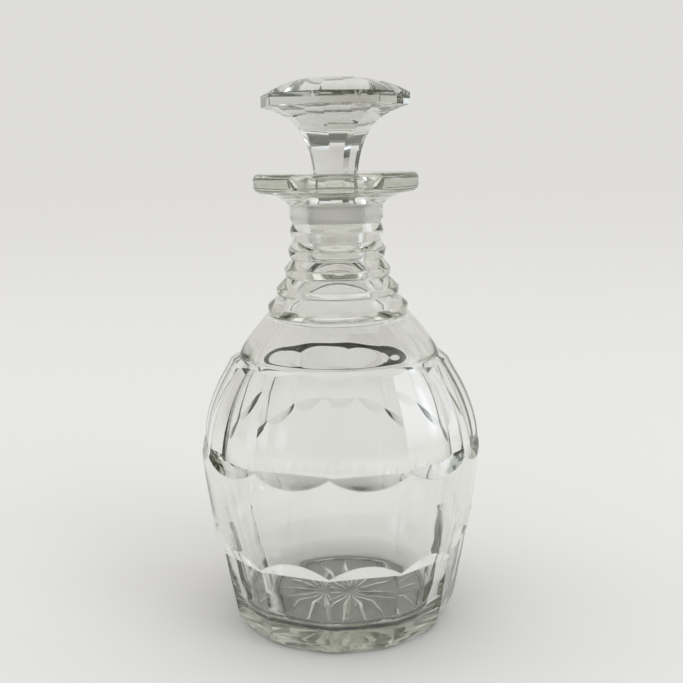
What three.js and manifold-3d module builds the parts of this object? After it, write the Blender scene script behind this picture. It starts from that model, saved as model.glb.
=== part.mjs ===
// Cut crystal decanter with a mushroom stopper.
// Millimetres, +Z up, origin at the centre of the foot, -Y is the front.
// Two separate pieces of glass: the blown and cut body, and the solid stopper
// whose ground peg drops into the ground socket of the neck.

import * as THREE from 'three';
import { mergeVertices, toCreasedNormals } from 'three/addons/utils/BufferGeometryUtils.js';
import Module from 'manifold-3d';

// ---------------------------------------------------------------- dimensions

// Body heights, all above the table
const HEIGHT_TO_LIP = 192.0;
const BELLY_HEIGHT = 76.0;
const BELLY_RADIUS = 60.0;
const WALL = 5.8;

// Twelve flutes in each tier, cut as flat panels
const SIDES = 12;
const SIDE_ANGLE = (2 * Math.PI) / SIDES;
const FIRST_RIDGE = THREE.MathUtils.degToRad(-4.5);
const FLUTE_SINK = 0.2;
const CUTTER_HALF_WIDTH = 19.0;
const CUTTER_REACH = 67.0;

// Base tier
const FOOT_RADIUS = 44.0;
const FOOT_RIM_RADIUS = 45.9;
const FOOT_RIM_HEIGHT = 1.3;
const BEVEL_TOP = 9.6;
const BEVEL_SWELL = { radius: 48.9, height: 5.2 };
const BEVEL_FLAT_AT_FOOT = 44.2;
const BASE_PANEL_TOP = 35.4;
const BASE_ARCH_TOP = 41.6;

// Upper tier
const SCALLOP_BOTTOM = 74.0;
const SCALLOP_TOP = 79.6;
const UPPER_PANEL_TOP = 109.4;
const LEDGE_EDGE = { radius: 47.4, height: 113.7 };
const LEDGE_CORNER = { radius: 42.6, height: 116.4 };
const LEDGE_CUT_TOP = 117.4;

// Five turned steps on the neck, lowest first: foot and edge of the outer
// face, then the end of the sloping top
const NECK_STEPS = [
  { foot: [29.5, 133.7], edge: [29.7, 137.4], top: [24.9, 141.8] },
  { foot: [25.8, 142.2], edge: [26.0, 144.9], top: [21.3, 149.2] },
  { foot: [22.1, 149.7], edge: [22.5, 152.7], top: [19.2, 156.6] },
  { foot: [19.9, 157.1], edge: [20.7, 160.6], top: [18.4, 164.2] },
  { foot: [18.7, 164.7], edge: [19.7, 168.3], top: [18.5, 171.7] },
];
const NECK_RADIUS = 19.5;
const NECK_BOTTOM = 173.4;
const NECK_TOP = 178.0;

// Lip
const LIP_RADIUS = 34.4;
const LIP_LOWER_ROUND = 3.2;
const LIP_UPPER_ROUND = 2.4;
const LIP_WALL = { bottom: 187.2, top: 189.6 };
const MOUTH_RADIUS = 15.2;

// Ground socket in the neck, and the peg that sits in it
const SOCKET_TOP = { radius: 12.3, height: 182.0 };
const SOCKET_BOTTOM = { radius: 11.3, height: 156.0 };
const GROUND_GAP = 0.3;
const PEG_TOP = 181.0;
const PEG_BOTTOM = 158.0;

// Recess and star cut under the foot
const RECESS_RADIUS = 38.5;
const RECESS_DEPTH = 0.9;
const STAR_RAYS = 16;
const STAR_INNER = 1.5;
const STAR_LENGTH = 36.5;
const STAR_WIDTH = 4.6;
const STAR_DEPTH = 1.6;

// Inside of the body
const FLOOR_HEIGHT = 9.0;
const FLOOR_CROWN = 1.2;
const FLOOR_CORNER = { radius: 35.5, height: 18.0, round: 9.0 };
const INNER_SHOULDER = [22.2, 134.3];

// Stopper head: eight sides, radii measured at the corners
const STOPPER_SIDES = 8;
const STOPPER_RIDGE = THREE.MathUtils.degToRad(-10.6);
const TABLE_RADIUS = 10.2;
const STOPPER_TOP = 230.0;
const RIM_RADIUS = 31.2;
const RIM_TOP = 223.6;
const RIM_BOTTOM = 218.9;
const UNDERSIDE_BEND = [16.3, 211.2];
const STEM_RADIUS = 9.3;
const STEM_BOTTOM = 185.0;

// Facets around every turned surface, and the angle past which an edge is
// shown sharp
const TURNED_SEGMENTS = 48;
const CREASE_ANGLE = THREE.MathUtils.degToRad(10);

// ------------------------------------------------------------------- helpers

const wasm = await Module();
wasm.setup();

function bend(start, control, end, divisions) {
  const curve = new THREE.QuadraticBezierCurve(
    new THREE.Vector2(...start),
    new THREE.Vector2(...control),
    new THREE.Vector2(...end),
  );
  return curve.getPoints(divisions);
}

function arc(centreX, centreY, radius, fromDegrees, toDegrees, divisions) {
  const from = THREE.MathUtils.degToRad(fromDegrees);
  const to = THREE.MathUtils.degToRad(toDegrees);
  const curve = new THREE.EllipseCurve(centreX, centreY, radius, radius, from, to, to < from, 0);
  return curve.getPoints(divisions);
}

function dot(radius, height) {
  return new THREE.Vector2(radius, height);
}

// Radius of the uncut barrel at a height: steeper towards the ledge, and
// nearly straight towards the foot
function barrelRadius(height) {
  const rise = height - BELLY_HEIGHT;
  if (rise > 0) {
    return BELLY_RADIUS - 0.00925 * rise ** 2;
  }
  return BELLY_RADIUS - 0.035 * (-rise) ** 1.34;
}

function barrelPoints(from, to, count, inset = 0) {
  const points = [];
  for (let i = 0; i <= count; i += 1) {
    const height = from + ((to - from) * i) / count;
    points.push(dot(barrelRadius(height) - inset, height));
  }
  return points;
}

// A turned solid: the profile is spun about the upright axis
function turned(profile, segments, firstAngle) {
  const geometry = new THREE.LatheGeometry(profile, segments, firstAngle, 2 * Math.PI);
  geometry.rotateX(Math.PI / 2);
  return geometry;
}

function solidOf(geometry) {
  const bare = new THREE.BufferGeometry();
  bare.setAttribute('position', geometry.getAttribute('position'));
  if (geometry.index) {
    bare.setIndex(geometry.index);
  }
  const merged = mergeVertices(bare, 1e-4);
  const position = merged.getAttribute('position').array;
  const corners = merged.index.array;
  const kept = [];
  for (let i = 0; i < corners.length; i += 3) {
    const [a, b, c] = [corners[i], corners[i + 1], corners[i + 2]];
    if (a !== b && b !== c && c !== a) {
      kept.push(a, b, c);
    }
  }
  const build = (triangles) => new wasm.Manifold(
    new wasm.Mesh({
      numProp: 3,
      vertProperties: new Float32Array(position),
      triVerts: new Uint32Array(triangles),
    }),
  );
  const solid = build(kept);
  if (solid.volume() > 0) {
    return solid;
  }
  const turnedOver = [];
  for (let i = 0; i < kept.length; i += 3) {
    turnedOver.push(kept[i], kept[i + 2], kept[i + 1]);
  }
  return build(turnedOver);
}

function geometryOf(solid) {
  const mesh = solid.getMesh();
  const geometry = new THREE.BufferGeometry();
  geometry.setAttribute('position', new THREE.BufferAttribute(new Float32Array(mesh.vertProperties), 3));
  geometry.setIndex(new THREE.BufferAttribute(new Uint32Array(mesh.triVerts), 1));
  return toCreasedNormals(geometry, CREASE_ANGLE);
}

// A wheel cut for one side: the outline is drawn as distance from the axis
// against height, and runs straight across the side
function sideCutter(outline, facing) {
  const shape = new THREE.Shape(outline);
  const geometry = new THREE.ExtrudeGeometry(shape, {
    depth: 2 * CUTTER_HALF_WIDTH,
    bevelEnabled: false,
  });
  geometry.translate(0, 0, -CUTTER_HALF_WIDTH);
  geometry.rotateX(Math.PI / 2);
  geometry.rotateZ(facing - Math.PI / 2);
  return solidOf(geometry);
}

// ---------------------------------------------------------------------- body

const flatFactor = Math.cos(SIDE_ANGLE / 2);

function panelDistance(height) {
  return (barrelRadius(height) - FLUTE_SINK) * flatFactor;
}

function panelOutline(from, to, count) {
  const points = [];
  for (let i = 0; i <= count; i += 1) {
    const height = from + ((to - from) * i) / count;
    points.push(dot(panelDistance(height), height));
  }
  return points;
}

function bodyProfile() {
  const profile = [
    dot(0, RECESS_DEPTH),
    dot(RECESS_RADIUS, RECESS_DEPTH),
    dot(RECESS_RADIUS + 0.9, 0),
    dot(FOOT_RADIUS, 0),
    dot(FOOT_RIM_RADIUS, FOOT_RIM_HEIGHT),
  ];
  profile.push(dot(BEVEL_SWELL.radius, BEVEL_SWELL.height));
  profile.push(...barrelPoints(BEVEL_TOP, 30, 2));
  profile.push(...barrelPoints(35, 80, 6));
  profile.push(...barrelPoints(92, UPPER_PANEL_TOP, 1));
  profile.push(dot(LEDGE_EDGE.radius, LEDGE_EDGE.height));
  profile.push(dot(LEDGE_CORNER.radius, LEDGE_CORNER.height));
  profile.push(...bend([LEDGE_CORNER.radius - 0.2, 117.0], [40.3, 122.4], [30.7, 132.9], 5));
  profile.push(dot(28.9, 133.3));
  for (const step of NECK_STEPS) {
    profile.push(dot(...step.foot));
    profile.push(dot(...step.edge));
    profile.push(dot(...step.top));
  }
  profile.push(dot(NECK_RADIUS, NECK_BOTTOM));
  profile.push(...bend([NECK_RADIUS, NECK_TOP], [20.6, 182.1], [31.0, 184.0], 5));
  profile.push(
    ...arc(LIP_RADIUS - LIP_LOWER_ROUND, LIP_WALL.bottom, LIP_LOWER_ROUND, -70, 0, 3),
    ...arc(LIP_RADIUS - LIP_UPPER_ROUND, LIP_WALL.top, LIP_UPPER_ROUND, 0, 65, 3),
  );
  profile.push(dot(31.8, HEIGHT_TO_LIP));
  profile.push(
    ...bend([MOUTH_RADIUS, HEIGHT_TO_LIP], [12.7, 191.0], [SOCKET_TOP.radius, SOCKET_TOP.height], 4),
  );
  profile.push(
    ...bend([SOCKET_BOTTOM.radius, SOCKET_BOTTOM.height], [14.2, 145.8], INNER_SHOULDER, 5),
  );
  profile.push(
    ...bend(INNER_SHOULDER, [40.3, 117.4], [barrelRadius(105) - WALL, 105], 6).slice(1),
  );
  profile.push(...barrelPoints(95, 24, 6, WALL));
  profile.push(
    ...arc(FLOOR_CORNER.radius, FLOOR_CORNER.height, FLOOR_CORNER.round, -10, -90, 3),
  );
  profile.push(dot(0, FLOOR_HEIGHT + FLOOR_CROWN));
  return profile;
}

function upperFluteOutline() {
  const ledgeFlat = (LEDGE_EDGE.radius - 0.4) * flatFactor;
  const panelTop = panelDistance(UPPER_PANEL_TOP);
  const lean = (panelTop - ledgeFlat) / (LEDGE_EDGE.height - UPPER_PANEL_TOP);
  const scallopInner = panelDistance(SCALLOP_TOP);
  const scallopOuter = barrelRadius(SCALLOP_BOTTOM);
  const scallopLean = (scallopOuter - scallopInner) / (SCALLOP_TOP - SCALLOP_BOTTOM);
  const clear = BELLY_RADIUS + 2;
  const outline = [
    dot(CUTTER_REACH, LEDGE_CUT_TOP),
    dot(ledgeFlat - lean * (LEDGE_CUT_TOP - LEDGE_EDGE.height), LEDGE_CUT_TOP),
  ];
  outline.push(...panelOutline(UPPER_PANEL_TOP, SCALLOP_TOP, 7));
  outline.push(dot(clear, SCALLOP_TOP - (clear - scallopInner) / scallopLean));
  outline.push(dot(CUTTER_REACH, SCALLOP_TOP - (clear - scallopInner) / scallopLean));
  return outline;
}

function baseFluteOutline() {
  const archInner = panelDistance(BASE_PANEL_TOP);
  const archOuter = barrelRadius(BASE_ARCH_TOP);
  const archLean = (archOuter - archInner) / (BASE_ARCH_TOP - BASE_PANEL_TOP);
  const clear = BELLY_RADIUS + 2;
  const outline = [
    dot(CUTTER_REACH, BASE_PANEL_TOP + (clear - archInner) / archLean),
    dot(clear, BASE_PANEL_TOP + (clear - archInner) / archLean),
  ];
  outline.push(...panelOutline(BASE_PANEL_TOP, BEVEL_TOP, 4));
  outline.push(dot((BEVEL_SWELL.radius - FLUTE_SINK) * flatFactor, BEVEL_SWELL.height));
  outline.push(dot(BEVEL_FLAT_AT_FOOT, 0));
  outline.push(dot(BEVEL_FLAT_AT_FOOT - 1, -1));
  outline.push(dot(CUTTER_REACH, -1));
  return outline;
}

// One ray of the star: a mitre cut, deepest half way along
function starRay(facing) {
  const below = 0.05;
  const spread = (STAR_DEPTH + below) / STAR_DEPTH;
  const middle = (STAR_INNER + STAR_LENGTH) / 2;
  const halfLength = ((STAR_LENGTH - STAR_INNER) / 2) * spread;
  const halfWidth = (STAR_WIDTH / 2) * spread;
  const floor = RECESS_DEPTH - below;
  const cone = new THREE.ConeGeometry(1, STAR_DEPTH + below, 4);
  cone.rotateX(Math.PI / 2);
  cone.scale(halfLength, halfWidth, 1);
  cone.translate(middle, 0, floor + (STAR_DEPTH + below) / 2);
  cone.rotateZ(facing);
  return solidOf(cone);
}

function buildBody() {
  let body = solidOf(turned(bodyProfile(), TURNED_SEGMENTS, FIRST_RIDGE));
  const upperOutline = upperFluteOutline();
  const baseOutline = baseFluteOutline();
  for (let side = 0; side < SIDES; side += 1) {
    const facing = FIRST_RIDGE + (side + 0.5) * SIDE_ANGLE;
    body = body.subtract(sideCutter(upperOutline, facing));
    body = body.subtract(sideCutter(baseOutline, facing));
  }
  for (let ray = 0; ray < STAR_RAYS; ray += 1) {
    const facing = FIRST_RIDGE + (2 * Math.PI * ray) / STAR_RAYS;
    body = body.subtract(starRay(facing));
  }
  return geometryOf(body);
}

// ------------------------------------------------------------------- stopper

function headProfile() {
  const profile = [
    dot(0, STEM_BOTTOM - 3),
    dot(STEM_RADIUS - 0.6, STEM_BOTTOM - 3),
    dot(STEM_RADIUS, STEM_BOTTOM + 3),
  ];
  profile.push(...bend([STEM_RADIUS, 190.5], [10.2, 204.0], UNDERSIDE_BEND, 6));
  profile.push(...bend(UNDERSIDE_BEND, [20.4, 216.2], [RIM_RADIUS, RIM_BOTTOM], 4).slice(1));
  profile.push(...bend([RIM_RADIUS, RIM_TOP], [23.0, 228.8], [TABLE_RADIUS, STOPPER_TOP], 3));
  profile.push(dot(0, STOPPER_TOP));
  return profile;
}

function pegRadius(height) {
  const run = (height - SOCKET_BOTTOM.height) / (SOCKET_TOP.height - SOCKET_BOTTOM.height);
  return SOCKET_BOTTOM.radius + run * (SOCKET_TOP.radius - SOCKET_BOTTOM.radius) - GROUND_GAP;
}

function pegProfile() {
  return [
    dot(0, PEG_BOTTOM + 0.8),
    dot(8.2, PEG_BOTTOM),
    dot(pegRadius(PEG_BOTTOM) - 0.7, PEG_BOTTOM),
    dot(pegRadius(PEG_BOTTOM), PEG_BOTTOM + 0.8),
    dot(pegRadius(PEG_TOP), PEG_TOP),
    dot(11.0, PEG_TOP + 1.6),
    dot(9.0, PEG_TOP + 3.4),
    dot(0, PEG_TOP + 3.4),
  ];
}

function buildStopper() {
  const head = solidOf(turned(headProfile(), STOPPER_SIDES, STOPPER_RIDGE));
  const peg = solidOf(turned(pegProfile(), TURNED_SEGMENTS, FIRST_RIDGE));
  return geometryOf(head.add(peg));
}

// ------------------------------------------------------------------ assembly

const decanter = new THREE.Group();
decanter.name = 'cut_crystal_decanter';

const body = new THREE.Mesh(
  buildBody(),
  new THREE.MeshStandardMaterial({ color: 0xdfe2da, roughness: 0.05, metalness: 0 }),
);
body.name = 'decanter_body';
decanter.add(body);

const stopper = new THREE.Mesh(
  buildStopper(),
  new THREE.MeshStandardMaterial({ color: 0xe4e6e1, roughness: 0.06, metalness: 0 }),
);
stopper.name = 'stopper';
decanter.add(stopper);

export default decanter;
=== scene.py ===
"""Looks of the cut crystal decanter: fine glass pieces in place of the CAD solids.

Lengths in the shape code are millimetres, turned into metres when a mesh is made.
Angles run from 0 at the front (-Y) towards +X.
"""
import math

import bpy
import numpy as np
from mathutils import Matrix, Vector


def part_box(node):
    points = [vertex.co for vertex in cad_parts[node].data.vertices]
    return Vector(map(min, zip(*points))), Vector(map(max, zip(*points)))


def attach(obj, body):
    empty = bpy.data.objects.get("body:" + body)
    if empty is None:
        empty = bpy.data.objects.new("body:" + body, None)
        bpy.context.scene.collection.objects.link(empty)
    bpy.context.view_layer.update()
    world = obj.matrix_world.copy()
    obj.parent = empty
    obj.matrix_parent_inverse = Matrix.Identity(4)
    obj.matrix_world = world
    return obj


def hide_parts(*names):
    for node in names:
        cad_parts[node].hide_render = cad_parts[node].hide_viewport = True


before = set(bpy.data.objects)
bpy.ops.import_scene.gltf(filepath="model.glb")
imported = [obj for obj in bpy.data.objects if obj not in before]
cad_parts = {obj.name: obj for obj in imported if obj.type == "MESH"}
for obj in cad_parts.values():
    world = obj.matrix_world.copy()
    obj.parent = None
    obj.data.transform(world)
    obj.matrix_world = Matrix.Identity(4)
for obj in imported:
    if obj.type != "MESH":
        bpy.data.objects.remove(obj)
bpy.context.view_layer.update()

MM = 0.001
body_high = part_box("decanter_body")[1]
stop_low, stop_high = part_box("stopper")
LIP_TOP = body_high[2] / MM
STOPPER_TOP = stop_high[2] / MM
PEG_BOTTOM = stop_low[2] / MM

# ------------------------------------------------------------ sizes of the cut body
SIDES = 12
SIDE_DEGREES = 360.0 / SIDES
HALF_SIDE = math.cos(math.radians(SIDE_DEGREES / 2))
BELLY_HEIGHT = 76.0
BELLY_RADIUS = 59.95
WALL = 5.8
SINK = 0.35  # how far the flutes' ridges lie inside the turned barrel
CHAMFER = math.radians(0.27)  # half the width of the polished edge along each ridge
EASE = 0.35  # how far an arch's polished edge reaches into the faces on each side

# Where the ridges between the flutes stand, round the body, in degrees: hand cut, so not quite
# even. The four ridges in front stand where the photo has them.
rng = np.random.default_rng(11)


def uneven(first, spread):
    even = first + SIDE_DEGREES * np.arange(SIDES)
    return even + rng.uniform(-spread, spread, SIDES)


UPPER_RIDGES = uneven(-4.0, 1.0)
UPPER_RIDGES[-1] = 325.2
UPPER_RIDGES[0] = -3.9
UPPER_RIDGES[1] = 26.3
UPPER_RIDGES[2] = 57.4
BASE_RIDGES = uneven(-5.0, 1.0)
BASE_RIDGES[-1] = 323.8
BASE_RIDGES[0] = -5.2
BASE_RIDGES[1] = 24.6
BASE_RIDGES[2] = 53.8
STAR_RIDGES = -4.5 + SIDE_DEGREES * np.arange(SIDES)

# star cut under the foot
RAYS = 16
RAY_INNER, RAY_OUTER = 1.5, 36.5
RAY_HALF_WIDTH = 2.3
RAY_DEPTH = 1.6
RAY_COLUMNS = 5  # columns of points from a ray's middle to its edge
RECESS_DEPTH, RECESS_RADIUS = 0.9, 38.5
STAR_MIDDLE = 0.95

# foot, bevel and base tier, as radius and height or as height alone
FOOT_FLAT = 42.0
FOOT_RIM = 43.6
BEVEL_MIDDLE = (48.9, 5.2)
BEVEL_TOP = 9.6
BASE_PANEL_TOP = 35.4 + rng.uniform(-0.5, 0.5, SIDES)

# upper tier and the ledge above it
SCALLOP_TOP = 79.4 + rng.uniform(-0.5, 0.6, SIDES)
UPPER_PANEL_TOP = 109.4
LEDGE_EDGE = (47.3, 113.7)
LEDGE_CORNER = (42.6, 116.4)
SHOULDER_FOOT = (42.2, 117.3)
SHOULDER_TOP = (30.7, 132.9)

# steps of the neck, each with the foot, edge and top of one ring
STEPS = [
    ((29.5, 133.7), (29.7, 137.4), (24.9, 141.8)),
    ((25.8, 142.2), (26.0, 144.9), (21.3, 149.2)),
    ((22.1, 149.7), (22.5, 152.7), (19.2, 156.6)),
    ((19.9, 157.1), (20.7, 160.6), (18.4, 164.2)),
    ((18.7, 164.7), (19.7, 168.3), (18.5, 171.7)),
]
NECK_EDGE = 0.45  # how round the rings' edges are
COLLAR = (19.5, 175.5)
LIP_ROOT = (19.5, 178.0)
LIP_EDGE = (31.0, 184.0)

# inside of the body
SOCKET_TOP, SOCKET_FOOT = 182.0, 156.0
SOCKET_FOOT_RADIUS = 11.3
SOCKET_TAPER = 26.0  # millimetres of height for each millimetre of radius
SOCKET_GROUND_FROM = 172.5
FUNNEL_FOOT = (22.2, 134.3)
INNER_SHOULDER_FOOT = 105
INNER_WALL_FOOT = 24
INNER_CORNER = 9.0
INNER_FLOOR = 9.0
INNER_FLOOR_RADIUS = 35.5
INNER_FLOOR_CROWN = 1.2


def barrel(z):
    """Radius of the turned barrel at a height."""
    rise = np.asarray(z, float) - BELLY_HEIGHT
    above = BELLY_RADIUS - 0.00925 * np.clip(rise, 0, None) ** 2
    below = 0.035 * np.clip(-rise, 0, None) ** 1.34
    return above - below


# ------------------------------------------------------------ outlines
def bezier(a, b, c, n):
    t = np.linspace(0, 1, n + 1)[:, None]
    a, b, c = (np.array(p, float) for p in (a, b, c))
    return (1 - t) ** 2 * a + 2 * t * (1 - t) * b + t ** 2 * c


def round_arc(cx, cz, radius, start, end, n):
    t = np.radians(np.linspace(start, end, n + 1))
    return np.stack([cx + radius * np.cos(t), cz + radius * np.sin(t)], 1)


def line(a, b, n):
    t = np.linspace(0, 1, n + 1)[:, None]
    return (1 - t) * np.array(a, float) + t * np.array(b, float)


def rounded(points, radius, n=4):
    """The polyline with every inner corner rounded, for edges polished soft."""
    out = [np.array([points[0]], float)]
    for before, here, after in zip(points, points[1:], points[2:]):
        b, h, a = (np.array(p, float) for p in (before, here, after))
        u, v = b - h, a - h
        cut = min(radius, 0.42 * np.linalg.norm(u), 0.42 * np.linalg.norm(v))
        out.append(bezier(h + u / np.linalg.norm(u) * cut, h, h + v / np.linalg.norm(v) * cut, n))
    out.append(np.array([points[-1]], float))
    return np.concatenate(out)


# ------------------------------------------------------------ round meshes built ring by ring
# kinds of face, and how matt each is
POLISHED, GROUND, CUT, SATIN = 0, 1, 2, 3
MATT = (0.0, 0.34, 0.13, 0.04)


class Rings:
    """Rows of points round the axis, in order along the surface.

    Each row says how the band of faces after it looks: its kind of face, whether it is shaded
    flat, and whether it has upright ridges. A sharp row is a crease round the axis.
    """

    def __init__(self):
        self.rows = []
        self.sharp = []
        self.kinds = []
        self.flat = []
        self.ridged = []

    def add(self, x, y, z, sharp=False, kind=POLISHED, flat=False, ridged=False):
        self.rows.append(np.stack([x, y, np.broadcast_to(z, x.shape)], 1))
        self.sharp.append(sharp)
        self.kinds.append(kind)
        self.flat.append(flat)
        self.ridged.append(ridged)

    def mesh(self, name, ridges, material, start_cap, end_cap):
        """The rows as one closed object, with a point on the axis at each end's cap height."""
        count = len(self.rows[0])
        points = np.concatenate(self.rows) * MM
        rows = len(self.rows)
        ridges = np.array(ridges)
        j = np.arange(count)
        k = (j + 1) % count
        faces, kinds, flats, sharp = [], [], [], []
        for i in range(rows - 1):
            a = i * count
            b = a + count
            faces.append(np.stack([a + j, a + k, b + k, b + j], 1))
            kinds += np.broadcast_to(self.kinds[i], count).tolist()
            flats += [self.flat[i]] * count
            if self.ridged[i]:
                sharp += list(zip((a + ridges).tolist(), (b + ridges).tolist()))
        for i in range(rows):
            if self.sharp[i]:
                a = i * count
                sharp += list(zip((a + j).tolist(), (a + k).tolist()))
        faces = np.concatenate(faces).tolist()
        points = points.tolist()
        for cap, row in ((start_cap, 0), (end_cap, rows - 1)):
            points.append([0.0, 0.0, cap * MM])
            centre = len(points) - 1
            a = row * count
            for c, d in zip(j.tolist(), k.tolist()):
                if row == 0:
                    faces.append([centre, a + d, a + c])
                else:
                    faces.append([centre, a + c, a + d])
                kinds.append(POLISHED)
                flats.append(self.flat[min(row, rows - 2)])
        mesh = bpy.data.meshes.new(name)
        mesh.from_pydata(points, [], faces)
        grind = mesh.attributes.new("grind", "FLOAT", "FACE")
        matt = np.array(MATT)[np.array(kinds, dtype=int)]
        grind.data.foreach_set("value", matt.astype(np.float32))
        mesh.polygons.foreach_set("use_smooth", ~np.array(flats, dtype=bool))
        mesh.materials.append(material)
        edges = np.zeros(2 * len(mesh.edges), dtype=np.int64)
        mesh.edges.foreach_get("vertices", edges)
        edges = np.sort(edges.reshape(-1, 2), axis=1)
        key = edges[:, 0] * len(points) + edges[:, 1]
        wanted = np.sort(np.array(sharp, dtype=np.int64), axis=1)
        wanted = wanted[:, 0] * len(points) + wanted[:, 1]
        mesh.edges.foreach_set("use_edge_sharp", np.isin(key, wanted))
        mesh.update()
        obj = bpy.data.objects.new(name, mesh)
        bpy.context.scene.collection.objects.link(obj)
        return obj


def place(theta, radius):
    """Points at an angle round the body, in radians from the front."""
    return radius * np.sin(theta), -radius * np.cos(theta)


# ------------------------------------------------------------ the cut body
PER_SIDE = 20
side_of = np.repeat(np.arange(SIDES), PER_SIDE)
across = np.tile(np.linspace(-1, 1, PER_SIDE), SIDES)


def ridge_columns(sides, per_side):
    """The first and last column of every side."""
    first = [side * per_side for side in range(sides)]
    return first + [column + per_side - 1 for column in first]


class Tier:
    """The angles of one tier's flutes, and how each column lies on its flute."""

    def __init__(self, ridges):
        start = np.radians(ridges)
        end = np.roll(start, -1)
        end = np.where(end < start, end + 2 * math.pi, end)
        self.facing = ((start + end) / 2)[side_of]
        self.half = ((end - start) / 2)[side_of]
        self.phi = across * (self.half - CHAMFER)
        self.theta = self.facing + self.phi

    def flat(self, ridge_radius):
        """Radius of a flat that runs from ridge to ridge."""
        return ridge_radius * np.cos(self.half) / np.cos(self.phi)


def last_first(ridges):
    """The same ridges, with the last one put first as an angle below it."""
    turned = np.roll(np.array(ridges, float), 1)
    turned[0] -= 360.0
    return turned


upper = Tier(last_first(UPPER_RIDGES))
base = Tier(last_first(BASE_RIDGES))
star = Tier(last_first(STAR_RIDGES))


def solve(z_low, z_high, gap):
    """The height in each column where gap changes sign, by halving."""
    low = np.broadcast_to(z_low, across.shape).astype(float).copy()
    high = np.broadcast_to(z_high, across.shape).astype(float).copy()
    sign = np.sign(gap(low))
    for _ in range(40):
        mid = (low + high) / 2
        same = np.sign(gap(mid)) == sign
        low = np.where(same, mid, low)
        high = np.where(same, high, mid)
    return (low + high) / 2


def soft_edge(rings, theta, before, corner, after, count=3):
    """Rows that carry one face into the next round a polished edge."""
    for t in np.linspace(0, 1, count + 1)[1:]:
        weights = ((1 - t) ** 2, 2 * t * (1 - t), t * t)
        radius = sum(w * part[0] for w, part in zip(weights, (before, corner, after)))
        z = sum(w * part[1] for w, part in zip(weights, (before, corner, after)))
        x, y = place(theta, radius)
        rings.add(x, y, z)


def star_cut(rings):
    """Sixteen mitred rays under the foot, deepest and widest half way along.

    Each ray has its own columns. edge is the share of the ray's pitch that half its groove takes.
    """
    pitch = 2 * math.pi / RAYS
    per_ray = len(across) // RAYS
    column = np.arange(len(across)) + per_ray // 2
    ray = column // per_ray
    off = column % per_ray - per_ray // 2
    start = math.radians(STAR_RIDGES[0])
    middle, half = (RAY_INNER + RAY_OUTER) / 2, (RAY_OUTER - RAY_INNER) / 2
    steps = [0.4, 1.5, 2.5, 3.6, 5, 6.5, 8, 10, 12, 14, 16, 18, 19, 20.5, 22.5, 24.5, 26.5, 28.5]
    steps += [30.3, 32, 33.5, 34.8, 35.8, 36.5, 37.6]
    for radius in steps:
        strength = max(1 - abs(radius - middle) / half, 0.0)
        least = 0.03 if radius > RAY_INNER else 0.33
        edge = min(max(RAY_HALF_WIDTH * strength / radius / pitch, least), 0.44)
        groove = np.abs(off) / RAY_COLUMNS
        t = np.where(groove <= 1, groove * edge, edge + (groove - 1) / 0.5 * (0.5 - edge))
        theta = start + pitch * (ray + np.sign(off) * t)
        depth = RAY_DEPTH * strength * np.clip(1 - t / edge, 0, 1)
        x, y = place(theta, radius)
        grooved = (np.abs(off) <= RAY_COLUMNS) & (off < RAY_COLUMNS) & (strength > 0)
        rings.add(x, y, RECESS_DEPTH + depth, kind=np.where(grooved, CUT, POLISHED), flat=True)


def foot_and_bevel(rings):
    """The recess's edge, the ring the decanter stands on, and the bevel that meets the flutes."""
    x, y = place(star.theta, RECESS_RADIUS)
    rings.add(x, y, RECESS_DEPTH, sharp=True)
    foot = rounded([(RECESS_RADIUS, RECESS_DEPTH), (39.4, 0.0), (FOOT_FLAT, 0.0)], 0.3, 3)
    # from here the columns turn from the star's angles to the base tier's
    for r, z in foot[1:]:
        mix = (r - RECESS_RADIUS) / 7.0
        x, y = place(star.theta * (1 - mix) + base.theta * mix, r)
        rings.add(x, y, z)

    rim = round_arc(FOOT_RIM, 2.5, 2.5, -90, -42, 6)
    rim_top = rim[-1][1]
    known_z = np.concatenate([rim[:, 1], [BEVEL_MIDDLE[1], BEVEL_TOP]])
    known_r = np.concatenate([rim[:, 0], [BEVEL_MIDDLE[0], float(barrel(BEVEL_TOP))]])
    heights = list(rim[:, 1]) + [2.4, 3.3, 4.2, 5.2, 6.3, 7.4, 8.5]
    ridge_z = [0, BEVEL_MIDDLE[1], BEVEL_TOP]
    ridge_r = [44.2 / HALF_SIDE, 48.75, float(barrel(BEVEL_TOP)) - SINK]

    def flat_at(z):
        bulge = 0.5 * np.clip(1 - np.abs(z - BEVEL_MIDDLE[1]) / BEVEL_MIDDLE[1], 0, 1) * 0.3
        return base.flat(np.interp(z, ridge_z, ridge_r) + bulge)

    for i, z in enumerate(sorted(heights)):
        turned = np.interp(z, known_z, known_r)
        up = min(max((z - rim_top) / (BEVEL_TOP - rim_top), 0), 1)
        turned = turned + 0.5 * math.sin(math.pi * up)
        radius = np.minimum(turned, flat_at(z)) if z > 0.05 else np.full(across.shape, FOOT_RIM)
        mix = min(1.0, 0.75 + 0.25 * i / 4)
        x, y = place(star.theta * (1 - mix) + base.theta * mix, radius)
        rings.add(x, y, z, kind=SATIN, ridged=z > 1.5)


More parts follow.
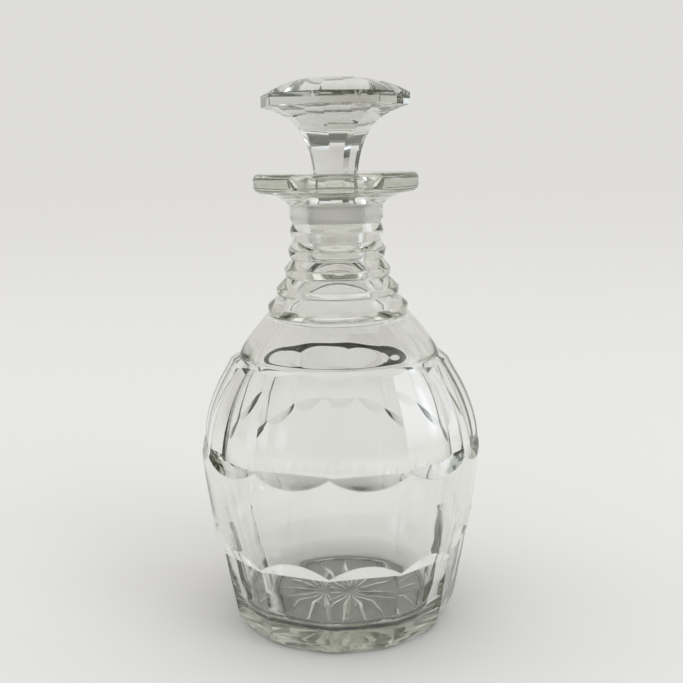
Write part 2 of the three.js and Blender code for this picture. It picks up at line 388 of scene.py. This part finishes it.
def base_tier(rings):
    """The flats of the base tier and the arches over them. Returns where the arches end."""
    top = BASE_PANEL_TOP[side_of]

    def panel(z):
        return base.flat(barrel(z) - SINK)

    for i, t in enumerate(np.linspace(0, 1, 13)):
        z = BEVEL_TOP + t * (top - BEVEL_TOP)
        x, y = place(base.theta, panel(z))
        rings.add(x, y, z, sharp=i in (0, 12), ridged=i < 12)

    # an even arch starts at 35.4 and slopes out to meet the barrel 6.2 higher
    lean = (float(barrel(41.6)) - (float(barrel(35.4)) - SINK) * HALF_SIDE) / 6.2

    def arch(z):
        return (panel(top) * np.cos(base.phi) + lean * (z - top)) / np.cos(base.phi)

    end = solve(top + 0.01, top + 14.0, lambda z: arch(z) - barrel(z))
    ease = np.minimum(EASE, 0.3 * (end - top))
    for t in np.linspace(0, 1, 6)[1:]:
        z = top + t * (end - ease - top)
        x, y = place(base.theta, arch(z))
        rings.add(x, y, z)
    soft_edge(rings, base.theta, (arch(end - ease), end - ease), (barrel(end), end),
              (barrel(end + ease), end + ease))
    return end + ease


def band_and_upper_tier(rings, band_foot):
    """The plain band, and the scallops and long flats above it."""
    peak = SCALLOP_TOP[side_of]

    def panel(z):
        return upper.flat(barrel(z) - SINK)

    # an even scallop starts at 79.6 and slopes out to meet the barrel 5.6 lower
    lean = (float(barrel(74.0)) - (float(barrel(79.6)) - SINK) * HALF_SIDE) / 5.6

    def scallop(z):
        return (panel(peak) * np.cos(upper.phi) + lean * (peak - z)) / np.cos(upper.phi)

    end = solve(peak - 14.0, peak - 0.01, lambda z: scallop(z) - barrel(z))
    rise = np.minimum(EASE, 0.3 * (peak - end))
    # the band's columns turn from the base tier's angles to the upper tier's
    for t in np.linspace(0, 1, 17)[1:]:
        z = band_foot + t * (end - rise - band_foot)
        soft = t * t * (3 - 2 * t)
        x, y = place(base.theta * (1 - soft) + upper.theta * soft, barrel(z))
        rings.add(x, y, z)
    soft_edge(rings, upper.theta, (barrel(end - rise), end - rise), (barrel(end), end),
              (scallop(end + rise), end + rise))
    for t in np.linspace(0, 1, 6)[1:]:
        z = end + rise + t * (peak - end - rise)
        x, y = place(upper.theta, scallop(z))
        rings.add(x, y, z, sharp=t == 1, ridged=t == 1)
    for t in np.linspace(0, 1, 15)[1:]:
        z = peak + t * (UPPER_PANEL_TOP - peak)
        x, y = place(upper.theta, panel(z))
        rings.add(x, y, z, sharp=t == 1, ridged=True)


def ledge(rings):
    """The short flats over the long ones, and the sloping ledge they run into."""
    foot_ridge = float(barrel(UPPER_PANEL_TOP)) - SINK
    lean = (foot_ridge - (LEDGE_EDGE[0] - SINK)) / (LEDGE_EDGE[1] - UPPER_PANEL_TOP)
    slope = (LEDGE_EDGE[0] - LEDGE_CORNER[0]) / (LEDGE_CORNER[1] - LEDGE_EDGE[1])

    def short_flat(z):
        return upper.flat(foot_ridge - lean * (z - UPPER_PANEL_TOP))

    def ledge_at(z):
        return LEDGE_EDGE[0] - slope * (z - LEDGE_EDGE[1])

    end = solve(112.0, 117.0, lambda z: short_flat(z) - ledge_at(z))
    for t in np.linspace(0, 1, 5)[1:]:
        z = UPPER_PANEL_TOP + t * (end - UPPER_PANEL_TOP)
        x, y = place(upper.theta, short_flat(z))
        rings.add(x, y, z, sharp=t == 1, ridged=t < 1)
    for t in np.linspace(0, 1, 5)[1:]:
        z = end + t * (LEDGE_CORNER[1] - 0.17 - end)
        x, y = place(upper.theta, ledge_at(z))
        rings.add(x, y, z)


def turned_outside(rings):
    """The shoulder, stepped neck and lip, over to the top of the socket."""
    outline = [bezier((42.9, 116.25), (42.3, 116.5), SHOULDER_FOOT, 4)[1:]]
    outline.append(bezier(SHOULDER_FOOT, (40.2, 122.4), SHOULDER_TOP, 18)[1:])
    neck = [SHOULDER_TOP, (28.9, 133.3)]
    for ring in STEPS:
        neck += ring
    neck += [(19.5, 173.4), COLLAR]
    outline.append(rounded(neck, NECK_EDGE, 5)[1:-1])
    outline.append(line(COLLAR, LIP_ROOT, 3))
    outline.append(bezier(LIP_ROOT, (20.6, 182.1), LIP_EDGE, 16)[1:])
    outline.append(round_arc(31.2, 187.2, 3.2, -68, 0, 10))
    outline.append(round_arc(32.0, 189.6, 2.4, 0, 84, 10))
    outline.append(line((31.0, LIP_TOP), (16.2, LIP_TOP - 0.15), 5)[1:])
    outline.append(bezier((15.6, LIP_TOP - 0.25), (12.9, 191.0), (12.3, SOCKET_TOP), 14))
    for r, z in np.concatenate(outline):
        x, y = place(upper.theta, np.full(across.shape, r))
        rings.add(x, y, z)


def inside(rings):
    """The ground socket, then the blown wall and floor, a little wavy."""
    rings.kinds[-1] = GROUND
    rings.sharp[-1] = True
    socket = (181.0, 180.0, 178.4, 176.8, 175.2, 173.6, 172.4, 170.0, 167.0, 164.0, 161.0, 158.0)
    for z in (*socket, SOCKET_FOOT):
        radius = SOCKET_FOOT_RADIUS + (z - SOCKET_FOOT) / SOCKET_TAPER
        x, y = place(upper.theta, np.full(across.shape, radius))
        rings.add(x, y, z, kind=GROUND if z > SOCKET_GROUND_FROM else POLISHED)
    rings.sharp[-1] = True

    shoulder_end = (float(barrel(INNER_SHOULDER_FOOT)) - WALL, INNER_SHOULDER_FOOT)
    outline = [bezier((SOCKET_FOOT_RADIUS, SOCKET_FOOT), (14.2, 145.8), FUNNEL_FOOT, 16)[1:]]
    outline.append(bezier(FUNNEL_FOOT, (40.3, 117.4), shoulder_end, 22)[1:])
    wall_z = np.linspace(INNER_SHOULDER_FOOT, INNER_WALL_FOOT, 29)[1:]
    outline.append(np.stack([barrel(wall_z) - WALL, wall_z], 1))
    corner_height = INNER_FLOOR + INNER_CORNER
    outline.append(round_arc(INNER_FLOOR_RADIUS, corner_height, INNER_CORNER, -4, -90, 14))
    floor_r = np.linspace(INNER_FLOOR_RADIUS, 0.6, 12)[1:]
    crown = INNER_FLOOR_CROWN * (1 - (floor_r / INNER_FLOOR_RADIUS) ** 2)
    outline.append(np.stack([floor_r, INNER_FLOOR + crown], 1))
    for r, z in np.concatenate(outline):
        wave = 0.16 * np.sin(2 * upper.theta + 0.07 * z)
        wave = wave + 0.10 * np.sin(5 * upper.theta - 0.11 * z + 1.0)
        wave = wave + 0.07 * np.sin(11 * upper.theta + 0.04 * z + 0.6)
        keep = min(max((154 - z) / 20, 0), 1) * min(r / 30.0, 1)  # none in the neck or on the axis
        x, y = place(upper.theta, r + wave * keep)
        rings.add(x, y, z)


def build_body(material):
    rings = Rings()
    star_cut(rings)
    foot_and_bevel(rings)
    band_foot = base_tier(rings)
    band_and_upper_tier(rings, band_foot)
    ledge(rings)
    turned_outside(rings)
    inside(rings)
    ridges = ridge_columns(SIDES, PER_SIDE)
    floor_middle = INNER_FLOOR + INNER_FLOOR_CROWN
    return rings.mesh("cut_decanter", ridges, material, start_cap=STAR_MIDDLE, end_cap=floor_middle)


# ------------------------------------------------------------ the stopper
STOPPER_SIDES = 8
STOPPER_RIDGE = -10.6
STOPPER_COLUMNS = 16
STOPPER_CHAMFER = math.radians(0.35)
PEG_TOP = 181.0
PEG_TAPER = 0.0392
PEG_GROUND = (171.5, 180.5)
STEM_FOOT, STEM_TOP = (9.3, 185.0), (9.3, 190.5)
HEAD_ROOT = (16.3, 211.2)
HEAD_RADIUS = 31.2
GIRDLE_FOOT, GIRDLE_HEIGHT = 218.9, 4.7
TABLE_RADIUS = 10.2


def build_stopper(material):
    side = np.repeat(np.arange(STOPPER_SIDES), STOPPER_COLUMNS)
    width = np.tile(np.linspace(-1, 1, STOPPER_COLUMNS), STOPPER_SIDES)
    half = math.pi / STOPPER_SIDES
    phi = width * (half - STOPPER_CHAMFER)
    theta = math.radians(STOPPER_RIDGE) + (side + 0.5) * 2 * half + phi
    rings = Rings()

    def ring(r, z, **kw):
        x, y = place(theta, r)
        rings.add(x, y, z, **kw)

    def round_ring(r, z, **kw):
        ring(np.full(theta.shape, r), z, **kw)

    def faceted(r):
        return r * math.cos(half) / np.cos(phi)

    # the round peg, ground in its middle part
    round_ring(3.0, PEG_BOTTOM + 0.7)
    peg_foot = [(8.2, PEG_BOTTOM), (10.3, PEG_BOTTOM), (11.05, PEG_BOTTOM + 0.8)]
    for r, z in rounded(peg_foot, 0.5, 3):
        round_ring(r, z)
    peg = (160.0, 163.0, 166.0, 169.0, 171.6, 173.0, 174.6, 176.2, 177.8, 179.4, PEG_TOP)
    for z in peg:
        kind = GROUND if PEG_GROUND[0] < z < PEG_GROUND[1] else POLISHED
        round_ring(11.08 + (z - PEG_BOTTOM - 0.9) * PEG_TAPER, z, kind=kind)
    rings.sharp[-1] = True

    # round at the peg, eight-sided at the stem
    for t in np.linspace(0, 1, 6)[1:]:
        z = PEG_TOP + 4.0 * t
        turned = 11.95 - 2.9 * (t * t * (3 - 2 * t))
        radius = turned * (1 - t) + faceted(STEM_FOOT[0]) * t
        ring(radius, z, ridged=t > 0.7)

    # the stem, flaring into the underside of the head, then the girdle, crown and table
    under = [line(STEM_FOOT, STEM_TOP, 4)[1:]]
    under.append(bezier(STEM_TOP, (10.2, 204.0), HEAD_ROOT, 22)[1:])
    under.append(bezier(HEAD_ROOT, (20.4, 216.2), (HEAD_RADIUS, GIRDLE_FOOT), 20)[1:])
    for r, z in np.concatenate(under):
        ring(faceted(r), z, ridged=True)
    rings.sharp[-1] = True
    for t in (0.5, 1.0):
        ring(faceted(HEAD_RADIUS), GIRDLE_FOOT + GIRDLE_HEIGHT * t, ridged=True, sharp=t == 1.0)
    girdle_top = (HEAD_RADIUS, GIRDLE_FOOT + GIRDLE_HEIGHT)
    for r, z in bezier(girdle_top, (23.0, 228.8), (TABLE_RADIUS, STOPPER_TOP), 18)[1:]:
        ring(faceted(r), z, ridged=True)
    rings.ridged[-1] = False
    rings.sharp[-1] = True
    for r in (8.0, 5.0, 2.0):
        ring(faceted(r), STOPPER_TOP)
    ridges = ridge_columns(STOPPER_SIDES, STOPPER_COLUMNS)
    peg_middle = PEG_BOTTOM + 0.8
    return rings.mesh("cut_stopper", ridges, material, start_cap=peg_middle, end_cap=STOPPER_TOP)


# ------------------------------------------------------------ glass
def node(tree, kind, **settings):
    made = tree.nodes.new(kind)
    for key, value in settings.items():
        setattr(made, key, value)
    return made


def math_node(tree, operation, first, second=None, third=None):
    made = node(tree, "ShaderNodeMath", operation=operation)
    for socket, value in zip(made.inputs, (first, second, third)):
        if value is None:
            continue
        if isinstance(value, (int, float)):
            socket.default_value = value
        else:
            tree.links.new(value, socket)
    return made.outputs[0]


def ramp(tree, value, low, high):
    """0 below low, 1 above high, smooth between."""
    made = node(tree, "ShaderNodeMapRange", interpolation_type="SMOOTHSTEP")
    made.inputs["From Min"].default_value = low
    made.inputs["From Max"].default_value = high
    tree.links.new(value, made.inputs["Value"])
    return made.outputs["Result"]


def blend(tree, factor, first, second):
    """A colour between two colours or sockets."""
    made = node(tree, "ShaderNodeMix", data_type="RGBA")
    sockets = (made.inputs[0], made.inputs[6], made.inputs[7])
    for socket, value in zip(sockets, (factor, first, second)):
        if isinstance(value, tuple):
            socket.default_value = (*value, 1)
        elif isinstance(value, float):
            socket.default_value = value
        else:
            tree.links.new(value, socket)
    return made.outputs[2]


def crystal(name, ripple, tint, density):
    """Cut lead crystal. The mesh's grind attribute says how matt each face is. Noise in the
    object's own space makes the matt uneven, ripples the polish by ripple (in metres), and adds
    a fine grain to the ground faces. The glass absorbs by tint and density (per metre)."""
    material = bpy.data.materials.new(name)
    material.use_nodes = True
    tree = material.node_tree
    tree.nodes.clear()
    out = node(tree, "ShaderNodeOutputMaterial")
    shader = node(tree, "ShaderNodeBsdfPrincipled")
    shader.inputs["Base Color"].default_value = (1.0, 1.0, 0.995, 1)
    shader.inputs["Transmission Weight"].default_value = 1.0
    shader.inputs["IOR"].default_value = 1.54
    tree.links.new(shader.outputs["BSDF"], out.inputs["Surface"])
    place_in = node(tree, "ShaderNodeTexCoord")
    grind = node(tree, "ShaderNodeAttribute", attribute_name="grind").outputs["Fac"]

    smear = node(tree, "ShaderNodeTexNoise")
    smear.inputs["Scale"].default_value = 70.0
    smear.inputs["Detail"].default_value = 5.0
    tree.links.new(place_in.outputs["Object"], smear.inputs["Vector"])
    uneven_matt = ramp(tree, smear.outputs["Fac"], 0.42, 0.75)
    most = math_node(tree, "MULTIPLY_ADD", grind, 0.5, 0.015)
    spread = math_node(tree, "MULTIPLY", uneven_matt, most)
    roughness = math_node(tree, "ADD", grind, spread)
    tree.links.new(roughness, shader.inputs["Roughness"])

    wave = node(tree, "ShaderNodeTexNoise")
    wave.inputs["Scale"].default_value = 38.0
    wave.inputs["Detail"].default_value = 2.0
    tree.links.new(place_in.outputs["Object"], wave.inputs["Vector"])
    first = node(tree, "ShaderNodeBump")
    first.inputs["Strength"].default_value = 1.0
    first.inputs["Distance"].default_value = ripple
    tree.links.new(wave.outputs["Fac"], first.inputs["Height"])

    fine = node(tree, "ShaderNodeTexNoise")
    fine.inputs["Scale"].default_value = 900.0
    fine.inputs["Detail"].default_value = 3.0
    tree.links.new(place_in.outputs["Object"], fine.inputs["Vector"])
    depth = math_node(tree, "MULTIPLY_ADD", grind, 30.0, 0.2)
    second = node(tree, "ShaderNodeBump")
    second.inputs["Strength"].default_value = 1.0
    second.inputs["Distance"].default_value = 0.000001
    tree.links.new(math_node(tree, "MULTIPLY", fine.outputs["Fac"], depth), second.inputs["Height"])
    tree.links.new(first.outputs["Normal"], second.inputs["Normal"])
    tree.links.new(second.outputs["Normal"], shader.inputs["Normal"])

    volume = node(tree, "ShaderNodeVolumeAbsorption")
    volume.inputs["Color"].default_value = (*tint, 1)
    volume.inputs["Density"].default_value = density
    tree.links.new(volume.outputs["Volume"], out.inputs["Volume"])
    return material


body = build_body(crystal("cut_crystal", 0.00010, (0.60, 0.62, 0.52), 18.0))
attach(body, "decanter")
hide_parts("decanter_body")

stopper = build_stopper(crystal("stopper_crystal", 0.00004, (0.60, 0.61, 0.55), 17.0))
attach(stopper, "stopper")
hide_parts("stopper")

# ------------------------------------------------------------ studio
scene = bpy.context.scene
scene.view_settings.view_transform = "Standard"

# the room that the glass reflects and refracts
WALL_TONE = (0.72, 0.715, 0.68)
SIDE_TONE = (0.20, 0.20, 0.19)
FRONT_TONE = (0.10, 0.10, 0.095)
CEILING_TONE = (0.22, 0.215, 0.205)
STRIPE_TONE = (0.40, 0.37, 0.35)
# the floor, and the backdrop that the camera sees, matched to the floor's far edge as lit
PALE = (0.75, 0.740, 0.718)
BACKDROP = (0.731, 0.7235, 0.7015)
FLOOR_REACH = 40.0
FLOOR_DROP = 0.0004  # keeps the floor's face apart from the foot's

# soft boxes: compass direction from behind (+Y) and half width in degrees, the range of height as
# sines of elevation, and glow
BOX_SOFT_DEGREES = 6
BOX_SOFT_HEIGHT = 0.14
SOFT_BOXES = [
    (88.0, 9.0, 0.02, 0.52, (2.7, 2.9, 3.2)),
    (-113.0, 9.0, 0.00, 0.26, (1.7, 1.85, 2.05)),
    (34.0, 7.0, 0.50, 0.75, (1.2, 1.3, 1.4)),
    (-4.0, 34.0, 0.50, 0.86, (1.05, 1.05, 1.0)),
]


def by_compass(tree, azimuth):
    """Tone of the room round the compass: a wall behind, dimmer sides and a dark front, with
    faint upright stripes."""
    turn = math_node(tree, "ABSOLUTE", azimuth)
    tone = blend(tree, ramp(tree, turn, 0.9, 1.7), WALL_TONE, SIDE_TONE)
    tone = blend(tree, ramp(tree, turn, 2.0, 2.8), tone, FRONT_TONE)
    stripe = node(tree, "ShaderNodeTexNoise", noise_dimensions="1D")
    stripe.inputs["Scale"].default_value = 5.5
    stripe.inputs["Detail"].default_value = 1.0
    tree.links.new(azimuth, stripe.inputs["W"])
    strength = math_node(tree, "MULTIPLY", ramp(tree, stripe.outputs["Fac"], 0.4, 0.6), 0.26)
    return blend(tree, strength, tone, STRIPE_TONE)


def floor_material():
    """A plain pale floor, the same tone everywhere."""
    material = bpy.data.materials.new("pale_floor")
    material.use_nodes = True
    tree = material.node_tree
    tree.nodes.clear()
    out = node(tree, "ShaderNodeOutputMaterial")
    pale = node(tree, "ShaderNodeBsdfDiffuse")
    pale.inputs["Color"].default_value = (*PALE, 1)
    tree.links.new(pale.outputs["BSDF"], out.inputs["Surface"])
    return material


def make_floor():
    mesh = bpy.data.meshes.new("floor")
    s = FLOOR_REACH
    mesh.from_pydata([(-s, -s, 0), (s, -s, 0), (s, s, 0), (-s, s, 0)], [], [(0, 1, 2, 3)])
    mesh.materials.append(floor_material())
    obj = bpy.data.objects.new("floor", mesh)
    obj.location = (0, 0, -FLOOR_DROP)
    scene.collection.objects.link(obj)


make_floor()


def mix_shaders(tree, factor, first, second):
    made = node(tree, "ShaderNodeMixShader")
    tree.links.new(factor, made.inputs["Fac"])
    tree.links.new(first.outputs[0], made.inputs[1])
    tree.links.new(second.outputs[0], made.inputs[2])
    return made


def make_world():
    """The camera sees a plain backdrop, the floor is lit by an even white dome, and the glass
    reflects and refracts the soft room with its soft boxes."""
    world = bpy.data.worlds.new("studio")
    scene.world = world
    world.use_nodes = True
    tree = world.node_tree
    tree.nodes.clear()
    out = node(tree, "ShaderNodeOutputWorld")
    way = node(tree, "ShaderNodeTexCoord")
    split = node(tree, "ShaderNodeSeparateXYZ")
    tree.links.new(way.outputs["Generated"], split.inputs[0])
    x, y, z = split.outputs
    azimuth = math_node(tree, "ARCTAN2", x, y)
    tone = blend(tree, ramp(tree, z, 0.55, 0.95), by_compass(tree, azimuth), CEILING_TONE)
    for centre, half, low, high, glow in SOFT_BOXES:
        off = math_node(tree, "SUBTRACT", azimuth, math.radians(centre))
        narrow = math.radians(half - BOX_SOFT_DEGREES)
        wide = math.radians(half + BOX_SOFT_DEGREES)
        outside = ramp(tree, math_node(tree, "ABSOLUTE", off), narrow, wide)
        width = math_node(tree, "SUBTRACT", 1.0, outside)
        sill = ramp(tree, z, low - BOX_SOFT_HEIGHT, low + BOX_SOFT_HEIGHT)
        over = ramp(tree, z, high - BOX_SOFT_HEIGHT, high + BOX_SOFT_HEIGHT)
        height = math_node(tree, "MULTIPLY", sill, math_node(tree, "SUBTRACT", 1.0, over))
        tone = blend(tree, math_node(tree, "MULTIPLY", width, height), tone, glow)
    room = node(tree, "ShaderNodeBackground")
    tree.links.new(tone, room.inputs["Color"])
    dome = node(tree, "ShaderNodeBackground")
    dome.inputs["Color"].default_value = (1, 1, 1, 1)
    backdrop = node(tree, "ShaderNodeBackground")
    backdrop.inputs["Color"].default_value = (*BACKDROP, 1)
    path = node(tree, "ShaderNodeLightPath")
    unseen = mix_shaders(tree, path.outputs["Is Diffuse Ray"], room, dome)
    seen = mix_shaders(tree, path.outputs["Is Camera Ray"], unseen, backdrop)
    tree.links.new(seen.outputs[0], out.inputs["Surface"])


make_world()


def soft_light(name, position, size, radiance, colour):
    """A square area light turned to the decanter's foot. It lights the floor, and reflection and
    refraction don't see it."""
    data = bpy.data.lights.new(name, "AREA")
    data.shape = "RECTANGLE"
    data.size, data.size_y = size, size
    data.energy = radiance * math.pi * size * size
    data.color = colour
    obj = bpy.data.objects.new(name, data)
    obj.location = position
    obj.rotation_mode = "QUATERNION"
    obj.rotation_quaternion = (LIGHT_TARGET - Vector(position)).to_track_quat("-Z", "Y")
    obj.visible_glossy = False
    obj.visible_transmission = False
    scene.collection.objects.link(obj)


LIGHT_TARGET = Vector((0, 0, 0.05))
soft_light("window_right", (1.1, -0.95, 1.3), 0.90, 2.4, (0.90, 0.95, 1.0))
soft_light("window_left", (-1.3, 0.2, 1.2), 0.80, 0.8, (0.92, 0.96, 1.0))

# ------------------------------------------------------------ camera
# where the photograph was taken from, looking a little down and tipped a degree
CAMERA_AT = (0.00124, -0.410, 0.1988)
PITCH, ROLL = math.radians(10.8), math.radians(-1.0)

camera_data = bpy.data.cameras.new("camera")
camera_data.sensor_width = 36
camera_data.lens = 51.29
camera = bpy.data.objects.new("camera", camera_data)
turn = Matrix.Rotation(math.radians(90) - PITCH, 4, "X") @ Matrix.Rotation(ROLL, 4, "Z")
camera.matrix_world = Matrix.Translation(CAMERA_AT) @ turn
camera_data.clip_start = 0.01
scene.collection.objects.link(camera)
scene.camera = camera

# light crosses many faces before it leaves cut glass, and fewer bounces show as black patches
scene.cycles.max_bounces = 64
scene.cycles.transmission_bounces = 64
scene.cycles.glossy_bounces = 48
scene.cycles.transparent_max_bounces = 16
scene.cycles.sample_clamp_indirect = 6.0
